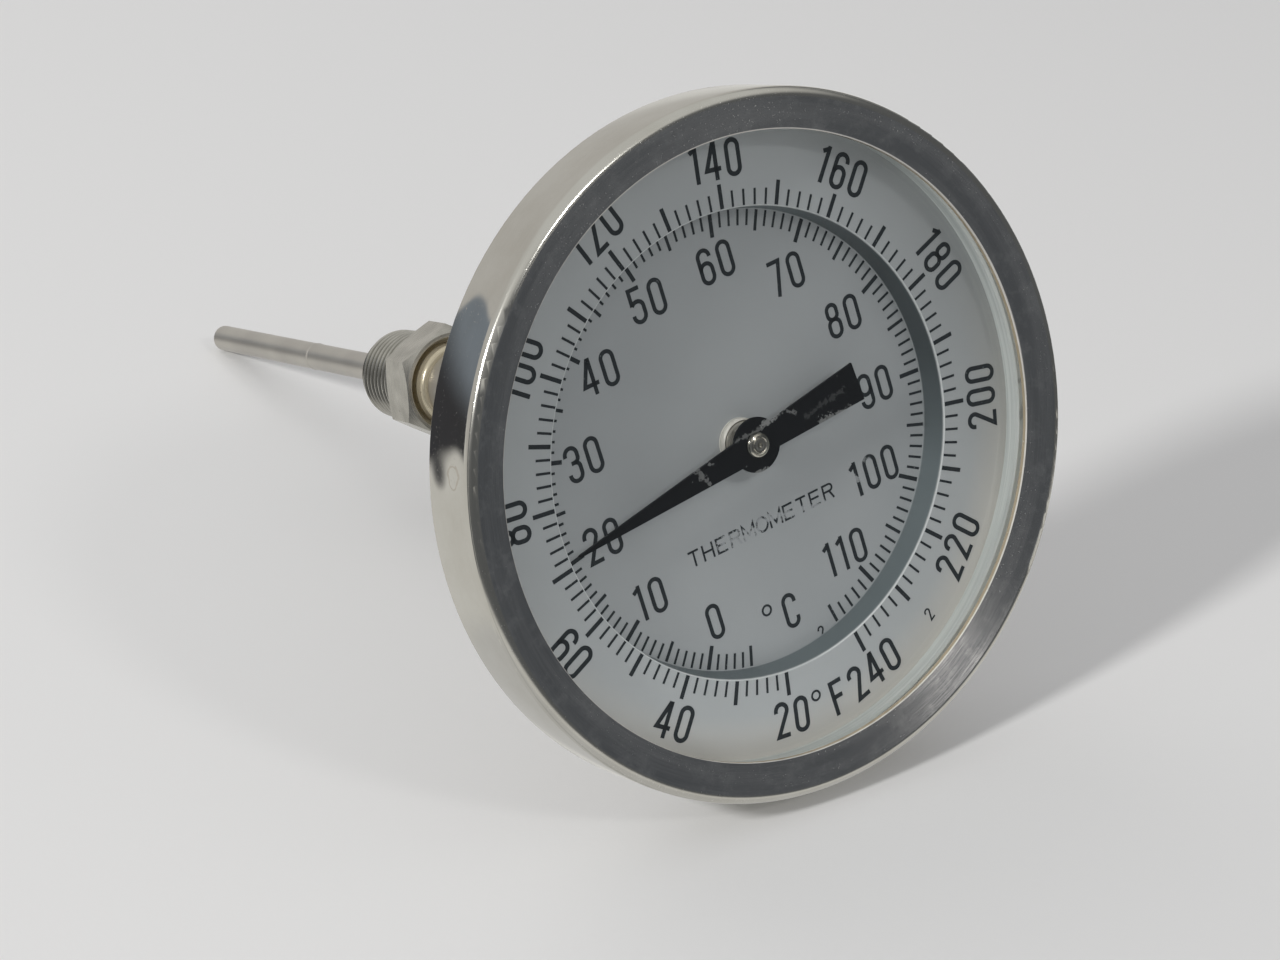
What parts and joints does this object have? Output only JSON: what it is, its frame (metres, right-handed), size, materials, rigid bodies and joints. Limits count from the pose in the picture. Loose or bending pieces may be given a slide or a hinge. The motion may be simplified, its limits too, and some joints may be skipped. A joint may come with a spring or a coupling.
{
  "type": "dial thermometer",
  "caption": "Round dial thermometer with Fahrenheit and Celsius scales, a black pointer, a long neck, a hexagon pipe fitting and a thin sensing stem.",
  "frame": {"origin": "on the axis, in the plane where the hexagon ends and the pipe thread begins", "axes": "+Y along the stem towards its tip (the dial faces -Y), +Z towards 12 o'clock on the dial"},
  "size_m": [0.1366, 0.253, 0.1366],
  "materials": {
    "polished_steel": "polished stainless, fine ring brushing",
    "satin_steel": "satin drawn stainless",
    "machined_steel": "machined stainless, nicked",
    "turned_nickel": "turned, bright",
    "window_glass": "clear flat glass",
    "dial_satin": "satin anodised with printed scales",
    "pointer_black": "black paint, scratched",
    "gasket_rubber": "matte",
    "spacer_plastic": "pale satin",
    "bearing_brass": "turned",
    "shaft_steel": "ground rod",
    "bimetal": "rolled strip"
  },
  "bodies": {
    "case_and_stem": {"bezel_ring": "polished_steel", "neck_collar": "polished_steel", "stem_joint_ring": "polished_steel", "case_pan": "satin_steel", "case_boss": "satin_steel", "neck_tube": "satin_steel", "stem_upper_tube": "satin_steel", "stem_sensing_tube": "satin_steel", "stem_tip": "satin_steel", "process_fitting": "machined_steel", "dial_nut": "turned_nickel", "window_lens": "window_glass", "dial_plate": "dial_satin", "lens_gasket": "gasket_rubber", "dial_support_ring": "gasket_rubber", "lens_spacer": "spacer_plastic", "upper_bearing": "bearing_brass", "neck_guide_bush": "bearing_brass", "stem_guide_bush": "bearing_brass", "helix_anchor": "bearing_brass", "bimetal_helix": "bimetal"},
    "pointer": {"pointer_blade": "pointer_black", "pointer_cap": "turned_nickel", "pointer_bush": "bearing_brass", "pointer_shaft": "shaft_steel", "thrust_collar": "bearing_brass", "helix_coupling": "bearing_brass"}
  },
  "joints": [
    {"name": "pointer_turn", "type": "hinge", "parent": "case_and_stem", "child": "pointer", "pos_m": [0, -0.12866, 0], "axis": [0, 1, 0], "range_deg": [-76, 264], "stiffness_Nm_per_rad": 0.001, "deforming": ["bimetal_helix"]}
  ]
}
